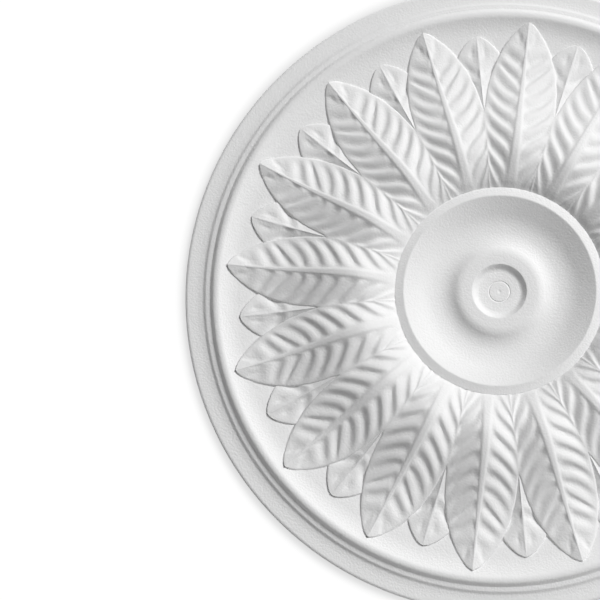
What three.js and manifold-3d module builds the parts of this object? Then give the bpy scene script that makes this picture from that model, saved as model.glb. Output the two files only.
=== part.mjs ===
// Ceiling rose: a round ceiling ornament moulded in one piece from white polystyrene foam.
// It is modelled as it hangs. The flat back lies against the ceiling at z = 0, centred on the
// origin, and the carved face looks down along -Z. Every depth is measured down from the ceiling.
import * as THREE from 'three';
import { mergeVertices } from 'three/addons/utils/BufferGeometryUtils.js';
import Module from 'manifold-3d';

// Driving sizes, in millimetres

// Rim mouldings, from the outer edge inwards: border, cove, bead, roll and lip
const outerRadius = 250;
const edgeDepth = 3.9;
const edgeRound = 2.2;
const borderWidth = 5.8;
const borderRise = 0.3;
const coveWidth = 7.1;
const coveHeight = 2.2;
const coveHollow = 0.7;
const beadWidth = 5;
const beadSlant = 2.5;
const beadBulge = 1.3;
const creaseWidth = 0.6;
const rollWidth = 6.1;
const rollBulge = 1.1;
const lipDepth = 14.7;
const sweepWidth = 14;
const sweepHollow = 1;
const fieldDepth = 10.3;

// Dish and boss in the middle
const dishRadius = 74.8;
const dishCrestDepth = 28.8;
const ringBandWidth = 6.8;
const ringBandFall = 2.2;
const dishFloorRadius = 47;
const dishFloorDepth = 17.8;
const dishWallHollow = 2.6;
const bossFootRadius = 40.5;
const bossSideRadius = 37.5;
const bossTopRadius = 29.8;
const bossDepth = 23.5;
const recessRadius = 21.4;
const recessWallWidth = 4;
const recessDepth = 4.4;

// Wreath of leaves, whose ribs rise to a crown close round the dish and sink towards the rim
const leafCount = 16;
const wreathFootDepth = 27.6;
const crownRadius = 112;
const crownDepth = 40.5;
const crownSpread = 48.5;
const footCurve = 1.6;
const tipToLip = 5.2;
const tipDepth = 14.1;

// Large leaf: the outline swells from the tip to its widest place, and both halves fall away
// from a rib to the margins, most of all round the crown
const leafWidth = 57.8;
const leafSwell = 65;
const leafFullness = 0.63;
const gableHeight = 3.3;
const gableHollow = 1.4;
const gableFoot = 30;
const gableTipWidth = 28;
const crownGable = 2.1;
const crownGableRadius = 120;
const crownGableSpread = 20;
const ribTipWidth = 1.6;
const ribWidth = 5.8;
const ribHeight = 1.1;
const wallDraft = 0.6;

// Veins of a large leaf: ridges that run from the rib forward to the margin, with a pocket cut
// between each two. Distances are from the leaf's tip, in shares of the leaf's length, and the
// last veins fan out at the base.
const veinCount = 6;
const firstVeinRoot = 0.171;
const veinRootSpacing = 0.0966;
const firstVeinEnd = 0.132;
const veinEndSpacing = 0.0703;
const veinEndGrowth = 0.0022;
const fanVeins = 2;
const fanReach = 0.0586;
const fanCurve = 1.4;
const lastPocketReach = 0.1025;
const pocketDepth = 1.9;
const leafRootLength = 2;

// Small leaf, which shows between the tips of two large ones and is tucked under their margins
const smallTipGap = 10.3;
const smallLeafWidth = 48.8;
const smallLeafSwell = 40;
const smallLeafLength = 70;
const smallLeafThickness = 1;
const smallLeafTuck = 3;
const smallLeafSink = 0.2;
const smallRibHeight = 2.6;

// Fineness of the facets, and how far joined pieces of the surface run into each other
const turnSteps = 48;
const curveSteps = 2;
const leafTipRows = [0.01, 0.3];
const smallLeafRows = [0.01, 0.12, 0.35, 1];
const overlap = 0.1;

// Radii that follow from the sizes above
const borderInner = outerRadius - edgeRound - borderWidth;
const beadOuter = borderInner - coveWidth;
const beadInner = beadOuter - beadWidth;
const rollOuter = beadInner - creaseWidth;
const lipRadius = rollOuter - rollWidth;
const leafTip = lipRadius - tipToLip;
const smallLeafTip = leafTip - smallTipGap;
const ringFoot = dishRadius + ringBandWidth;
const leafLength = leafTip - ringFoot;
const leafPitch = 2 * Math.PI / leafCount;

// Depth of the large leaves' ribs: up from the foot to the crown, then down in a long slope
function ribDepth(radius) {
  if (radius < crownRadius) {
    const share = (crownRadius - radius) / (crownRadius - ringFoot);
    return crownDepth - (crownDepth - wreathFootDepth) * share ** footCurve;
  }
  const share = (radius - crownRadius) / crownSpread;
  return tipDepth + (crownDepth - tipDepth) * Math.exp(-(share ** 2));
}

// How far the surface falls between a large leaf's rib and its margin
function gable(radius) {
  const offset = (radius - crownGableRadius) / crownGableSpread;
  const fromFoot = Math.min(1, Math.max(0, radius - ringFoot) / gableFoot);
  return (gableHeight + crownGable * Math.exp(-(offset ** 2))) * fromFoot;
}

// Half of a leaf's width at a distance from its tip
function halfWidth(distance, width, swell) {
  const open = Math.sin(Math.PI / 2 * Math.min(1, distance / swell));
  return width / 2 * open ** leafFullness;
}

// Closed section of the plate as radius and height, from the middle of the face out to the
// edge and back to the middle along the ceiling
function plateSection() {
  const path = new THREE.Path();
  const line = (radius, depth) => path.lineTo(radius, -depth);
  const bend = (cornerRadius, cornerDepth, radius, depth) =>
    path.quadraticCurveTo(cornerRadius, -cornerDepth, radius, -depth);
  const bow = (radius, depth, bulge) => {
    const end = new THREE.Vector2(radius, -depth);
    const along = end.clone().sub(path.currentPoint);
    const out = new THREE.Vector2(along.y, -along.x).setLength(2 * Math.abs(bulge));
    const middle = path.currentPoint.clone().addScaledVector(along, 0.5);
    const corner = middle.addScaledVector(out, Math.sign(bulge));
    path.quadraticCurveTo(corner.x, corner.y, end.x, end.y);
  };

  const borderDepth = edgeDepth + edgeRound;
  const coveDepth = borderDepth + borderRise;
  const beadOuterDepth = coveDepth + coveHeight;
  const beadInnerDepth = beadOuterDepth + beadSlant;
  const bossSideDepth = (bossDepth + dishFloorDepth) / 2;

  path.moveTo(0, recessDepth - bossDepth);
  line(recessRadius - recessWallWidth, bossDepth - recessDepth);
  line(recessRadius, bossDepth);
  line(bossTopRadius, bossDepth);
  bend((bossTopRadius + bossSideRadius) / 2, bossDepth, bossSideRadius, bossSideDepth);
  bend(bossFootRadius, dishFloorDepth, dishFloorRadius, dishFloorDepth);
  bow(dishRadius, dishCrestDepth, -dishWallHollow);
  line(ringFoot, dishCrestDepth - ringBandFall);
  line(ringFoot + overlap, fieldDepth);
  line(lipRadius - sweepWidth, fieldDepth);
  bow(lipRadius, lipDepth, -sweepHollow);
  bow(rollOuter, beadInnerDepth + creaseWidth, rollBulge);
  line(beadInner, beadInnerDepth);
  bow(beadOuter, beadOuterDepth, beadBulge);
  bow(borderInner, coveDepth, -coveHollow);
  line(outerRadius - edgeRound, borderDepth);
  bend(outerRadius, borderDepth, outerRadius, edgeDepth);
  line(outerRadius, 0);
  line(0, 0);
  return path.getPoints(curveSteps);
}

// Closed mesh of a leaf lying along +X, from its rows of points on the face, tip row first.
// Every row runs across the leaf, and the leaf's sides go down into the plate.
function leafGeometry(rows) {
  const positions = [];
  const indices = [];
  const add = (x, y, depth) => {
    positions.push(x, y, -depth);
    return positions.length / 3 - 1;
  };
  const face = (...corners) => {
    for (let corner = 2; corner < corners.length; corner += 1) {
      indices.push(corners[0], corners[corner - 1], corners[corner]);
    }
  };

  const tops = rows.map((row) => row.map((point) => add(point.x, point.y, point.z)));
  const roots = rows.map((row, index) => {
    const forward = index === 0 ? wallDraft : 0;
    const last = row[row.length - 1];
    return [
      add(row[0].x + forward, row[0].y - wallDraft, edgeDepth),
      add(last.x + forward, last.y + wallDraft, edgeDepth),
    ];
  });

  for (let row = 1; row < rows.length; row += 1) {
    const [outer, inner] = [tops[row - 1], tops[row]];
    const last = outer.length - 1;
    for (let column = 1; column <= last; column += 1) {
      face(outer[column - 1], inner[column - 1], inner[column], outer[column]);
    }
    face(roots[row - 1][0], roots[row][0], inner[0], outer[0]);
    face(outer[last], inner[last], roots[row][1], roots[row - 1][1]);
    face(roots[row - 1][1], roots[row][1], roots[row][0], roots[row - 1][0]);
  }
  const end = rows.length - 1;
  face(roots[0][0], ...tops[0], roots[0][1]);
  face(roots[end][1], ...[...tops[end]].reverse(), roots[end][0]);

  const geometry = new THREE.BufferGeometry();
  geometry.setAttribute('position', new THREE.Float32BufferAttribute(positions, 3));
  geometry.setIndex(indices);
  return geometry;
}

// One row of points across a large leaf. It leaves the rib at one share of the leaf's length,
// reaches the margin at another, and is cut down between them where it crosses a pocket.
function largeLeafRow(rootShare, endShare, cut) {
  const rootDistance = rootShare * leafLength;
  const endDistance = endShare * leafLength;
  const grown = Math.min(1, rootDistance / leafSwell);
  const sector = (leafTip - endDistance) * Math.tan(leafPitch / 2) + overlap;
  const edge = Math.min(halfWidth(endDistance, leafWidth, leafSwell), sector);
  const ribHalf = Math.min(edge / 4, (ribTipWidth + (ribWidth - ribTipWidth) * grown) / 2);
  const tipTaper = Math.min(1, 2 * edge / gableTipWidth);
  const across = [
    { offset: 0, raise: ribHeight * grown },
    { offset: ribHalf, raise: 0 },
    { offset: (ribHalf + edge) / 2, raise: -cut },
    { offset: edge, raise: 0 },
  ];
  const half = across.map(({ offset, raise }) => {
    const share = offset / edge;
    const distance = rootDistance + (endDistance - rootDistance) * share;
    const place = Math.hypot(leafTip - distance, offset);
    const fall = gable(place) * tipTaper * (1 - (1 - share) ** gableHollow);
    const depth = ribDepth(place) - ribHeight * grown - fall + raise;
    return new THREE.Vector3(leafTip - distance, offset, depth);
  });
  const mirrored = half.slice(1).reverse().map((point) => point.clone().setY(-point.y));
  return [...mirrored, ...half];
}

// A large leaf lying along +X
function largeLeaf() {
  const veinRoot = (vein) => {
    const fan = Math.max(0, vein - (veinCount - fanVeins) + 1);
    return firstVeinRoot + veinRootSpacing * vein + fanReach * fan ** fanCurve;
  };
  const veinEnd = (vein) =>
    firstVeinEnd + veinEndSpacing * vein + veinEndGrowth * vein ** 2;

  const rows = leafTipRows.map((share) =>
    largeLeafRow(firstVeinRoot * share, firstVeinEnd * share, 0));
  for (let vein = 0; vein < veinCount; vein += 1) {
    rows.push(largeLeafRow(veinRoot(vein), veinEnd(vein), 0));
    if (vein < veinCount - 1) {
      const root = (veinRoot(vein) + veinRoot(vein + 1)) / 2;
      const end = (veinEnd(vein) + veinEnd(vein + 1)) / 2;
      rows.push(largeLeafRow(root, end, pocketDepth));
    }
  }
  const base = 1 + leafRootLength / leafLength;
  rows.push(largeLeafRow(1, 1 - lastPocketReach, pocketDepth));
  rows.push(largeLeafRow(base, base, 0));
  return leafGeometry(rows);
}

// A small leaf lying along +X: a blade with a low ridge, narrowed where large leaves cover it
function smallLeaf() {
  const rows = smallLeafRows.map((share) => {
    const distance = share * smallLeafLength;
    const radius = smallLeafTip - distance;
    const large = halfWidth(leafTip - radius, leafWidth, leafSwell);
    const gap = radius * Math.tan(leafPitch / 2) - large;
    const free = halfWidth(distance, smallLeafWidth, smallLeafSwell);
    const edge = Math.min(free, Math.max(0, gap) + smallLeafTuck);
    const underLarge = (place) => ribDepth(place) - ribHeight - gable(place) - smallLeafSink;
    const blade = (place) => Math.max(fieldDepth + smallLeafThickness, underLarge(place));
    const sideDepth = blade(Math.hypot(radius, edge));
    const ridge = smallRibHeight * Math.sin(Math.PI * share);
    return [
      new THREE.Vector3(radius, -edge, sideDepth),
      new THREE.Vector3(radius, 0, blade(radius) + ridge),
      new THREE.Vector3(radius, edge, sideDepth),
    ];
  });
  return leafGeometry(rows);
}

const wasm = await Module();
wasm.setup();

// Solid for joining and cutting, from a closed geometry
function solidOf(geometry) {
  const bare = new THREE.BufferGeometry();
  bare.setAttribute('position', geometry.getAttribute('position'));
  bare.setIndex(geometry.getIndex());
  const merged = mergeVertices(bare, 1e-4);
  const corners = merged.getIndex().array;
  const kept = [];
  for (let start = 0; start < corners.length; start += 3) {
    const [a, b, c] = corners.slice(start, start + 3);
    if (a !== b && b !== c && c !== a) {
      kept.push(a, b, c);
    }
  }
  return new wasm.Manifold(new wasm.Mesh({
    numProp: 3,
    vertProperties: new Float32Array(merged.getAttribute('position').array),
    triVerts: new Uint32Array(kept),
  }));
}

// Geometry of a finished solid
function geometryOf(solid) {
  const mesh = solid.getMesh();
  const geometry = new THREE.BufferGeometry();
  geometry.setAttribute('position', new THREE.BufferAttribute(mesh.vertProperties, 3));
  geometry.setIndex(new THREE.BufferAttribute(mesh.triVerts, 1));
  geometry.computeVertexNormals();
  return geometry;
}

// Round solid from a section of radius and height, turned about the Z axis
function turned(section) {
  return solidOf(new THREE.LatheGeometry(section, turnSteps).rotateX(Math.PI / 2));
}

// The leaves of one size, set round the wreath and cut off at the foot of the dish ring
function leafRing(geometry, startAngle) {
  const core = turned([
    new THREE.Vector2(0, -2 * crownDepth),
    new THREE.Vector2(ringFoot - overlap, -2 * crownDepth),
    new THREE.Vector2(ringFoot - overlap, 0),
    new THREE.Vector2(0, 0),
  ]);
  let ring = null;
  for (let leaf = 0; leaf < leafCount; leaf += 1) {
    const placed = solidOf(geometry.clone().rotateZ(startAngle + leaf * leafPitch));
    ring = ring ? ring.add(placed) : placed;
  }
  return ring.subtract(core);
}

const rose = turned(plateSection())
  .add(leafRing(smallLeaf(), leafPitch / 2))
  .add(leafRing(largeLeaf(), 0));

const foam = new THREE.MeshStandardMaterial({ color: 0xf4f4f2, roughness: 0.75, metalness: 0 });
const ceilingRose = new THREE.Mesh(geometryOf(rose), foam);
ceilingRose.name = 'ceiling_rose';

const group = new THREE.Group();
group.add(ceilingRose);

export default group;
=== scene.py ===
import bpy
import numpy as np
from math import cos, pi, radians, sin, tan
from mathutils import Matrix, Vector


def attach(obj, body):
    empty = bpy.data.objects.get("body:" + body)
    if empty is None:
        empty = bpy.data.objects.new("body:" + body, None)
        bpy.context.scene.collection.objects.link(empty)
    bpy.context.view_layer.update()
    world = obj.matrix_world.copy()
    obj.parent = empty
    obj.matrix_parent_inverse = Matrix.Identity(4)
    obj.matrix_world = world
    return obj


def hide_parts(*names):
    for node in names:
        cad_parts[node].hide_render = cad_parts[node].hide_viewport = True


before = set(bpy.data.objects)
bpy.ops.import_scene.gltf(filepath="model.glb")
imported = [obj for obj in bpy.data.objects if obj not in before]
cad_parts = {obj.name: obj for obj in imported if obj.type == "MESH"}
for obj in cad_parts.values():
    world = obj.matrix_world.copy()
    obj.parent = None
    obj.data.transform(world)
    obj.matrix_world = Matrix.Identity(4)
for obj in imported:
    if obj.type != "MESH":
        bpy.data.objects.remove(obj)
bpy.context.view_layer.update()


# The camera stands under the hanging rose, a little towards one side, with a long lens.
# Its place and turn are given for the rose lying face up, with the top of the picture along +Y.

turn_in_picture = radians(5.58)
face_up_to_hanging = Matrix.Rotation(pi, 3, "X") @ Matrix.Rotation(turn_in_picture, 3, "Z")
edge_depth = 5.1

camera_place = Vector((-18.4, -208.6, 1658.7 + edge_depth)) / 1000
camera_turn = (
    Matrix.Rotation(radians(-0.35), 3, "Z")
    @ Matrix.Rotation(radians(-4.77), 3, "Y")
    @ Matrix.Rotation(radians(-6.97), 3, "X")
)
camera_data = bpy.data.cameras.new("camera")
camera_data.sensor_width = 36
camera_data.lens = 126.4
camera_data.clip_end = 50
camera = bpy.data.objects.new("camera", camera_data)
bpy.context.scene.collection.objects.link(camera)
pose = (face_up_to_hanging @ camera_turn.transposed()).to_4x4()
pose.translation = face_up_to_hanging @ camera_place
camera.matrix_world = pose
bpy.context.scene.camera = camera
bpy.context.scene.view_settings.view_transform = "Standard"


# The studio light: one distant soft lamp off the upper right of the picture, a weak near one off
# the picture's lower edge, and a faint even glow. A further lamp stands over the back.

def aim(name, kind, direction, power):
    data = bpy.data.lights.new(name, kind)
    data.energy = power
    made = bpy.data.objects.new(name, data)
    bpy.context.scene.collection.objects.link(made)
    away = Vector(direction).normalized()
    made.rotation_euler = away.to_track_quat("Z", "Y").to_euler()
    return made, data, away


def from_azimuth(azimuth, height):
    turn, tilt = radians(azimuth), radians(height)
    return face_up_to_hanging @ Vector((
        cos(turn) * cos(tilt),
        sin(turn) * cos(tilt),
        sin(tilt),
    ))


key_data = aim("key_lamp", "SUN", from_azimuth(42, 44), 2.9)[1]
key_data.angle = radians(20)

for name, direction, distance, size, power in (
    ("fill_lamp", from_azimuth(270, 45), 1.0, 0.5, 0.93),
    ("back_lamp", (-0.5, -0.6, 1.0), 2.6, 1.2, 60),
):
    soft, soft_data, away = aim(name, "AREA", direction, power)
    soft_data.shape = "DISK"
    soft_data.size = size
    soft.location = away * distance

world = bpy.data.worlds.new("glow")
bpy.context.scene.world = world
world.use_nodes = True
glow = world.node_tree.nodes["Background"]
glow.inputs["Color"].default_value = (1, 1, 1, 1)
glow.inputs["Strength"].default_value = 0.075


# The white sheet behind the rose, plain paper against the ceiling, lit from within so that it
# comes out white. The soft grey edge close round the rim, where shade would lie, is painted on.

class Tone:
    """A socket of a node tree, so that sums on it read as sums."""

    def __init__(self, tree, socket):
        self.tree = tree
        self.socket = socket

    def node(self, kind, settings=None, **inputs):
        made = self.tree.nodes.new(kind)
        for name, value in (settings or {}).items():
            setattr(made, name, value)
        for name, value in inputs.items():
            socket = made.inputs[int(name[1:]) if name[1:].isdigit() else name.replace("_", " ")]
            if isinstance(value, Tone):
                self.tree.links.new(value.socket, socket)
            else:
                socket.default_value = value
        return [Tone(self.tree, out) for out in made.outputs]

    def maths(self, operation, first, second):
        return self.node("ShaderNodeMath", {"operation": operation}, i0=first, i1=second)[0]

    def __add__(self, other):
        return self.maths("ADD", self, other)

    def __radd__(self, other):
        return self.maths("ADD", other, self)

    def __sub__(self, other):
        return self.maths("SUBTRACT", self, other)

    def __rsub__(self, other):
        return self.maths("SUBTRACT", other, self)

    def __mul__(self, other):
        return self.maths("MULTIPLY", self, other)

    def __rmul__(self, other):
        return self.maths("MULTIPLY", other, self)

    def __truediv__(self, other):
        return self.maths("DIVIDE", self, other)

    def mixed(self, first, second):
        """A colour between two, by this share."""
        return self.node(
            "ShaderNodeMix", {"data_type": "RGBA"}, i0=self, i6=first, i7=second
        )[2]


def new_material(name):
    material = bpy.data.materials.new(name)
    material.use_nodes = True
    material.node_tree.nodes.clear()
    return material, Tone(material.node_tree, None)


rim_radius = 0.250
shade_reach = 0.014
lit_white = (1, 1, 1, 1)
shaded_grey = (0.69, 0.69, 0.69, 1)

paper, pen = new_material("white_paper")
place = pen.node("ShaderNodeTexCoord")[3]
from_centre = pen.node("ShaderNodeVectorMath", {"operation": "LENGTH"}, Vector=place)[1]
past_rim = (from_centre - rim_radius) / shade_reach
nearness = pen.node("ShaderNodeClamp", Value=1.0 - past_rim)[0]
shade = nearness * nearness
paper_face = pen.node(
    "ShaderNodeBsdfPrincipled",
    Base_Color=(0.08, 0.08, 0.08, 1),
    Roughness=0.9,
    Emission_Color=shade.mixed(lit_white, shaded_grey),
    Emission_Strength=0.96,
)[0]
clear = pen.node("ShaderNodeBsdfTransparent")[0]
from_behind = pen.node("ShaderNodeNewGeometry")[6]
both = pen.node("ShaderNodeMixShader", i0=from_behind, i1=paper_face, i2=clear)[0]
pen.node("ShaderNodeOutputMaterial", Surface=both)

sheet_half = 3.0
sheet_height = 0.0004
paper_mesh = bpy.data.meshes.new("paper_sheet")
paper_mesh.from_pydata(
    [(-sheet_half, -sheet_half, 0), (-sheet_half, sheet_half, 0),
     (sheet_half, sheet_half, 0), (sheet_half, -sheet_half, 0)],
    [],
    [(0, 1, 2, 3)],
)
paper_mesh.materials.append(paper)
paper_sheet = bpy.data.objects.new("paper_sheet", paper_mesh)
paper_sheet.location.z = sheet_height
bpy.context.scene.collection.objects.link(paper_sheet)


# The plate of the rose, of white polystyrene foam: rim mouldings, flat field, dish and boss,
# all turned shapes of one moulding. Sizes are radius and depth below the ceiling in millimetres.

parts = []
bend_step = 8


def add_surface(points, faces):
    """Keeps a skin of the moulding, with its depths turned down along -Z."""
    parts.append((np.asarray(points, float) * (1, 1, -1), np.asarray(faces, int)))


def rounded(corners):
    """Section through (radius, depth, reach) corners, each eased over its reach either way,
    with a point for about every bend_step degrees that it turns."""
    places = np.array([corner[:2] for corner in corners], float)
    section = [places[0]]
    for index in range(1, len(corners) - 1):
        place = places[index]
        reach = corners[index][2]
        before = places[index - 1] - place
        after = places[index + 1] - place
        start = place + before / np.hypot(*before) * reach
        end = place + after / np.hypot(*after) * reach
        bend = np.arccos(np.clip(-before @ after / np.hypot(*before) / np.hypot(*after), -1, 1))
        steps = max(1, round(np.degrees(bend) / bend_step)) if reach else 0
        if not steps:
            section.append(place)
        for step in range(steps + 1 if steps else 0):
            share = step / steps
            section.append(
                (1 - share) ** 2 * start + 2 * share * (1 - share) * place + share ** 2 * end
            )
    section.append(places[-1])
    return np.array(section)


def grid_faces(rows, columns, closed=False):
    faces = []
    for row in range(rows - 1):
        for column in range(columns if closed else columns - 1):
            right = (column + 1) % columns
            corner = row * columns
            faces.append((
                corner + column,
                corner + right,
                corner + columns + right,
                corner + columns + column,
            ))
    return faces


boss_section = [
    (0, 18.5, 0),
    (1.6, 19.1, 0.4),
    (7.5, 19.1, 0.2),
    (8.15, 18.4, 0.25),
    (8.8, 19.1, 0.2),
    (17.6, 19.1, 2.2),
    (21.3, 23.5, 0.5),
    (32.2, 23.5, 3.7),
    (40.2, 17.7, 5.8),
    (55.0, 17.7, 8.4),
    (74.8, 28.8, 0.8),
    (81.6, 26.3, 0.5),
    (82.2, 10.2, 0),
]
field_section = [
    (213.8, 10.2, 7.4),
    (223.0, 15.0, 2.2),
    (226.5, 14.1, 1.3),
    (229.4, 10.3, 0.7),
    (233.2, 9.45, 0.8),
    (235.3, 7.5, 0.8),
    (238.4, 6.6, 1.6),
    (243.4, 6.05, 2.4),
    (248.6, 5.8, 1.2),
    (250.0, 4.4, 0.5),
    (250.0, 0.3, 0.2),
    (249.7, 0, 0),
    (0, 0, 0),
]
section = rounded(boss_section + field_section)
turns = 144
angles = np.arange(turns) * 2 * pi / turns
plate = np.stack([
    section[:, :1] * np.cos(angles),
    section[:, :1] * np.sin(angles),
    np.repeat(section[:, 1:], turns, axis=1),
], axis=2)
add_surface(plate.reshape(-1, 3), grid_faces(len(section), turns, closed=True))


# The large leaves, sixteen round the rose, of the same foam and moulded with the plate. Each
# swells from a blunt tip to its widest place, with a raised rib and scoops between its veins.
# The wreath is set a hair off the plate's middle, to meet the way it looks in the photo.

leaf_count = 16
pitch = 2 * pi / leaf_count
ring_foot = 81.6
leaf_tip = 218.0
leaf_width = 55.6
leaf_swell = 65
leaf_fullness = 0.6
field_depth = 10.2
crown_radius = 112
crown_depth = 40.5
crown_spread = 48.5
foot_depth = 27.6
foot_curve = 1.6
tip_depth = 14.1
gable_fall = 3.3
gable_gain = 2.1
gable_radius = 120
gable_spread = 20
gable_run = 30


def smooth(low, high, value):
    share = np.clip((value - low) / (high - low), 0, 1)
    return share * share * (3 - 2 * share)


def rib_depth(radius):
    inward = np.clip((crown_radius - radius) / (crown_radius - ring_foot), 0, 1.2)
    outward = np.maximum(0, radius - crown_radius) / crown_spread
    inner = crown_depth - (crown_depth - foot_depth) * inward ** foot_curve
    outer = tip_depth + (crown_depth - tip_depth) * np.exp(-outward ** 2)
    return np.where(radius < crown_radius, inner, outer)


def gable(radius):
    """How far a leaf's halves fall back from the rib to the margins."""
    from_foot = np.clip((radius - ring_foot) / gable_run, 0, 1)
    at_crown = np.exp(-((radius - gable_radius) / gable_spread) ** 2)
    return (gable_fall + gable_gain * at_crown) * from_foot


def half_width(distance, width, swell):
    open_share = np.sin(pi / 2 * np.clip(distance / swell, 0, 1))
    return width / 2 * open_share ** leaf_fullness


# Each vein leaves the rib, or low down the dish's ring, at one place and sweeps forward to the
# margin. Its numbers are the radius it starts from and how far across that is, how far it rises,
# how far across it has done so, how late it bends, and the depth of the scoop outside it.
veins = np.array([
    (leaf_tip - 0.05, 4.0, 0.0, 8.0, 1.0, 0.0),
    (208.6, 4.0, 3.0, 10.0, 1.0, 0.0),
    (192.4, 4.0, 6.0, 14.0, 1.0, 1.1),
    (175.9, 4.0, 12.0, 20.0, 1.0, 2.0),
    (161.9, 4.0, 18.5, 21.5, 1.05, 2.0),
    (152.3, 4.0, 14.0, 24.0, 1.9, 1.8),
    (137.7, 4.0, 16.0, 26.0, 1.6, 2.3),
    (123.0, 4.0, 16.5, 26.0, 1.3, 2.4),
    (105.2, 4.0, 15.5, 22.0, 0.85, 2.5),
    (88.7, 4.0, 17.0, 20.0, 0.9, 2.1),
    (80.1, 9.0, 15.0, 18.4, 1.1, 1.3),
    (78.9, 15.5, 0.0, 17.0, 1.0, 0.4),
])
rib_side = 4.0


def rows_between(lines, stops):
    """The shape of each row of points, eased from vein to vein, and the scoop that it lies in."""
    shape = np.array([np.interp(stops, np.arange(len(lines)), column) for column in lines.T]).T
    outer_vein = np.minimum(len(lines) - 1, np.ceil(stops - 1e-9).astype(int))
    return shape, lines[outer_vein, 5]


row_steps = np.array([0, 0.15, 0.3, 0.46, 0.62, 0.74, 0.83, 0.92])
stops = np.append((np.arange(len(veins) - 1)[:, None] + row_steps).ravel(), len(veins) - 1)
row_shape, scoop_of_row = rows_between(veins, stops)
within = stops % 1
trough = 0.57
scoop_sharpness = 1.25
falling = np.where(
    within < trough,
    0.5 - 0.5 * np.cos(pi * within / trough),
    0.5 + 0.5 * np.cos(pi * (within - trough) / (1 - trough)),
) ** scoop_sharpness


def row_radius(shape, across):
    start, reach = shape[:, 1:2], shape[:, 3:4]
    share = np.maximum(0, across - start) / (reach - start)
    return shape[:, :1] + shape[:, 2:3] * share ** shape[:, 4:5]


widest_half = 45.0
halvings = 40


def leaf_edges(shape, tip, width, swell):
    """Where each row meets the outline or the middle of the gap between two leaves."""
    low = np.zeros((len(shape), 1))
    high = np.full((len(shape), 1), widest_half)
    for _ in range(halvings):
        middle = (low + high) / 2
        along = row_radius(shape, middle)
        free = half_width(tip - along, width, swell)
        limit = np.minimum(free, along * tan(pitch / 2))
        low = np.where(middle < limit, middle, low)
        high = np.where(middle < limit, high, middle)
    return middle


edge = leaf_edges(row_shape, leaf_tip, leaf_width, leaf_swell)
edge_along = row_radius(row_shape, edge)
spare = edge_along * tan(pitch / 2) - edge
stands_free = smooth(0.05, 1.2, spare)
root = row_shape[:, :1]
start = row_shape[:, 1:2]

# Half width and height of the rib, from the dish out to the tip
rib_half = np.interp(root, (80, 95, 125, 150, 190, leaf_tip), (4.8, 3.9, 3.2, 2.3, 1.0, 0.4))
rib_half = np.minimum(rib_half, edge * 0.4)
rib_height = np.interp(root, (82, 100, 140, 170, 200, leaf_tip), (0.5, 1.2, 0.95, 0.5, 0.28, 0.05))

# The columns of points across a half leaf: rib, blade, rounded margin, and the wall down from it
margin_width = 1.2
blade_lines = 14
rib_columns = rib_half * np.array([0, 0.3, 0.6, 0.85, 1.1, 1.35])
margin_columns = edge - np.minimum(edge * 0.3, margin_width) * np.array([1, 0.55, 0.22, 0])
blade_shares = np.linspace(0, 1, blade_lines)[1:-1]
blade_start = np.maximum(rib_columns[:, -1:], np.where(start > rib_side, start, 0))
blade_start = np.minimum(blade_start, margin_columns[:, :1] - 0.2)
blade_columns = blade_start + (margin_columns[:, :1] - blade_start) * blade_shares
wall_columns = edge + stands_free * np.array([0.45, 1.5])
across = np.hstack([rib_columns, blade_columns, margin_columns, wall_columns])
along = row_radius(row_shape, across)
along[:, -2:] = edge_along + stands_free * np.array([0.3, 1.0])
radius = np.hypot(along, across)

# The foot is sunk under the edge of the dish's ring, and the halves fall away from the rib
foot_sink = 1.8
taper_width = 11
flat_top = rib_half * 0.8
share = np.clip((across - flat_top) / np.maximum(edge - flat_top, 0.01), 0, 1)
taper = np.minimum(1, edge / taper_width)
bow = np.interp(root, (120, 170, 190), (0, 0.3, 0.1))
depth = rib_depth(radius) - rib_height - foot_sink * (1 - smooth(79, 88, radius))
depth -= gable(radius) * taper * (share * (1 - bow) + share ** 2.5 * bow)
over_rib = 1 - smooth(0.5, 1.25, across / np.maximum(rib_half, 0.01))
depth += rib_height * over_rib

# The scoops die out towards the rib and the margin, and a slight ridge marks where leaves meet
scoop_rise = 0.3
meeting_ridge = 0.3
ridge_width = 1.1
into_blade = smooth(1.0, 2.2, across / np.maximum(rib_half, 0.01))
margin_reach = np.interp(root, (85, 100, 130, 200), (2.6, 3.4, 8.0, 8.0))
near_margin = smooth(0.0, 1.0, (edge - across) / margin_reach)
reach_share = near_margin * into_blade
depth += scoop_of_row[:, None] * (scoop_rise - falling[:, None]) * reach_share
ridge = np.exp(-((edge - across) / ridge_width) ** 2)
depth += meeting_ridge * (1 - stands_free) * ridge

# The slanting dent close to the tip, on either side of the rib
dent_radius = 206.0
dent_aside = 6.2
dent_length = 4.4
dent_width = 1.5
dent_depth = 1.4
straight, slant = 0.92, 0.4
dent_along, dent_across = along - dent_radius, across - dent_aside
dent = ((straight * dent_along + slant * dent_across) / dent_length) ** 2
dent += ((straight * dent_across - slant * dent_along) / dent_width) ** 2
depth -= dent_depth * np.exp(-dent)

# The margin is rounded over and its wall runs down into the field
margin_round = 0.85
wall_share = 0.35
root_sink = 1.2
edge_drop = np.array([0] * (across.shape[1] - 5) + [0.12, 0.45, 1.0, 1.0, 1.0])
depth -= edge_drop * margin_round * stands_free
margin_depth = depth[:, -3:-2]
above_field = np.maximum(0, margin_depth - field_depth)
below = np.minimum(margin_depth, field_depth + wall_share * above_field)
depth[:, -2:-1] = margin_depth + (below - margin_depth) * stands_free
depth[:, -1:] = field_depth - root_sink

wreath_place = (1.4, -0.4)
still_radius = 83
moved_radius = 125


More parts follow.
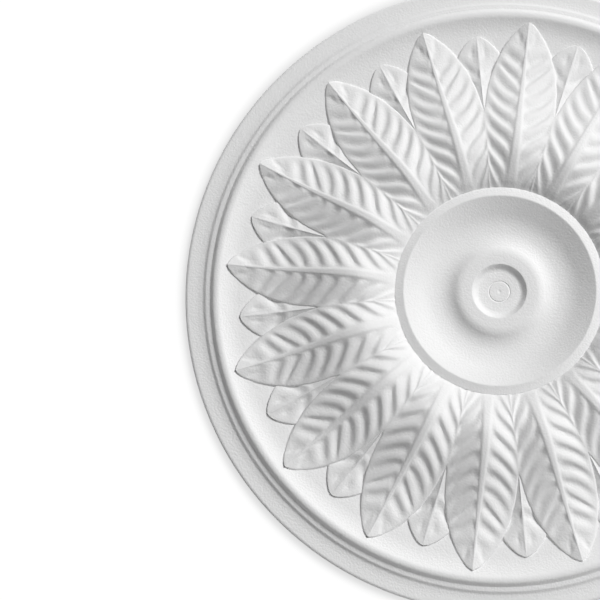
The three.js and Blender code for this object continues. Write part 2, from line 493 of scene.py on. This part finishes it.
def round_the_rose(along, across, depth, first_angle):
    """Both halves of a leaf, set all round the rose and off its middle, but for its foot."""
    half = np.stack([along, across, depth], axis=2)
    whole = np.concatenate([half[:, :0:-1] * (1, -1, 1), half], axis=1)
    faces = grid_faces(whole.shape[0], whole.shape[1])
    points = whole.reshape(-1, 3)
    moved = smooth(still_radius, moved_radius, np.hypot(points[:, :1], points[:, 1:2]))
    for leaf in range(leaf_count):
        angle = first_angle + leaf * pitch
        turned = points.copy()
        turned[:, 0] = points[:, 0] * cos(angle) - points[:, 1] * sin(angle)
        turned[:, 1] = points[:, 0] * sin(angle) + points[:, 1] * cos(angle)
        turned[:, :2] += moved * wreath_place
        add_surface(turned, faces)


round_the_rose(along, across, depth, 0)


# The small leaves, of the same foam, which show between the tips of the large ones. Each has a
# narrow rib and two scoops, and it runs in under the margins of its neighbours.

small_tip = 207.2
small_width = 47.6
small_swell = 40
small_veins = np.array([
    (small_tip - 0.05, 4.0, 0.0, 8.0, 1.0, 0.0),
    (201.0, 4.0, 2.0, 9.0, 1.0, 0.0),
    (183.0, 4.0, 5.0, 12.0, 1.0, 0.5),
    (168.0, 4.0, 9.0, 14.0, 1.0, 1.9),
    (156.0, 4.0, 6.0, 14.0, 1.0, 0.0),
    (138.0, 4.0, 0.0, 14.0, 1.0, 0.0),
])
rows_a_vein = 6
small_stops = np.arange((len(small_veins) - 1) * rows_a_vein + 1) / rows_a_vein
small_shape, small_scoop = rows_between(small_veins, small_stops)
small_within = small_stops % 1
small_edge = leaf_edges(small_shape, small_tip, small_width, small_swell)
small_root = small_shape[:, :1]
gap = small_root * tan(pitch / 2) - half_width(leaf_tip - small_root, leaf_width, leaf_swell)
tuck = 4
small_edge = np.minimum(small_edge, np.maximum(0, gap) + tuck)
columns = np.array([
    0, 0.04, 0.09, 0.16, 0.22, 0.28, 0.34, 0.4, 0.5, 0.62, 0.76, 0.88, 0.95, 0.985, 1.0,
])
small_across = np.hstack([small_edge * columns, small_edge + 0.5])
small_along = row_radius(small_shape, small_across)
small_along[:, -1] += 0.4
small_radius = np.hypot(small_along, small_across)
small_share = np.clip(small_across / np.maximum(small_edge, 0.01), 0, 1)

# It lies just under its neighbours' margins, and swells up where it shows between them
small_margin_rise = 1.5
small_swell_height = 3.0
small_swell_length = 66
shown_past_gap = 0.9
behind = small_tip - small_root
under_large = rib_depth(small_radius) - 1.1 - gable(small_radius)
margin_level = np.maximum(field_depth + small_margin_rise, under_large - 1.2)
swell_up = small_swell_height * np.sin(pi * np.clip(behind / small_swell_length, 0, 1))
shown = np.minimum(small_edge, np.maximum(gap, 0) + shown_past_gap)
shown_share = np.clip(small_across / np.maximum(shown, 0.01), 0, 1)
small_depth = margin_level + swell_up * (1 - shown_share)
small_depth += 0.35 * smooth(0, 8, behind) * (1 - smooth(0.02, 0.12, small_share))
small_reach = smooth(0.03, 0.15, small_share) * (1 - smooth(0.6, 0.95, small_share))
small_falling = 0.5 - 0.5 * np.cos(2 * pi * small_within)
small_depth += (small_scoop * (0.4 - small_falling))[:, None] * small_reach

# The dent close to its tip, its rounded margin, and its edge sunk in the field
small_dent_depth = 1.2
small_margin_round = 0.7
small_root_sink = 2
small_dent = ((behind - 14) / 4) ** 2 + ((small_across - 5.1) / 1.5) ** 2
small_depth -= small_dent_depth * np.exp(-small_dent)
small_drop = np.array([0] * 12 + [0.12, 0.45, 1.0, 1.0])
small_depth -= small_margin_round * small_drop
small_depth[:, -1] = field_depth - small_root_sink

round_the_rose(small_along, small_across, small_depth, pitch / 2)


# The whole rose as it comes from its mould, one piece of foam with a fine closed grain and a
# matt white skin. It takes the place of the plain faceted body.

crease_angle = radians(38)
foam_white = (0.88, 0.88, 0.88, 1)
grain_share = 0.7
unevenness_share = 0.7

points = np.concatenate([part[0] for part in parts]) / 1000
starts = np.cumsum([0] + [len(part[0]) for part in parts[:-1]])
faces = np.concatenate([part[1] + start for part, start in zip(parts, starts)])
rose_mesh = bpy.data.meshes.new("ceiling_rose_moulding")
rose_mesh.from_pydata(points.tolist(), [], faces[:, ::-1].tolist())
rose_mesh.validate()
rose_mesh.polygons.foreach_set("use_smooth", np.ones(len(rose_mesh.polygons), bool))
rose_mesh.set_sharp_from_angle(angle=crease_angle)
rose = bpy.data.objects.new("ceiling_rose_moulding", rose_mesh)
bpy.context.scene.collection.objects.link(rose)

foam, pen = new_material("white_foam")
place = pen.node("ShaderNodeTexCoord")[3]
grain = pen.node("ShaderNodeTexNoise", Vector=place, Scale=620.0, Detail=2.0)[0]
unevenness = pen.node("ShaderNodeTexNoise", Vector=place, Scale=60.0, Detail=2.0)[0]
height = grain * grain_share + unevenness * unevenness_share
relief = pen.node("ShaderNodeBump", Strength=0.9, Distance=0.0005, Height=height)[0]
skin = pen.node(
    "ShaderNodeBsdfPrincipled",
    Base_Color=foam_white,
    Roughness=0.7,
    Normal=relief,
)[0]
pen.node("ShaderNodeOutputMaterial", Surface=skin)
rose_mesh.materials.append(foam)
cad_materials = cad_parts["ceiling_rose"].data.materials
cad_materials.clear()
cad_materials.append(foam)

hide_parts("ceiling_rose")
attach(rose, "root")
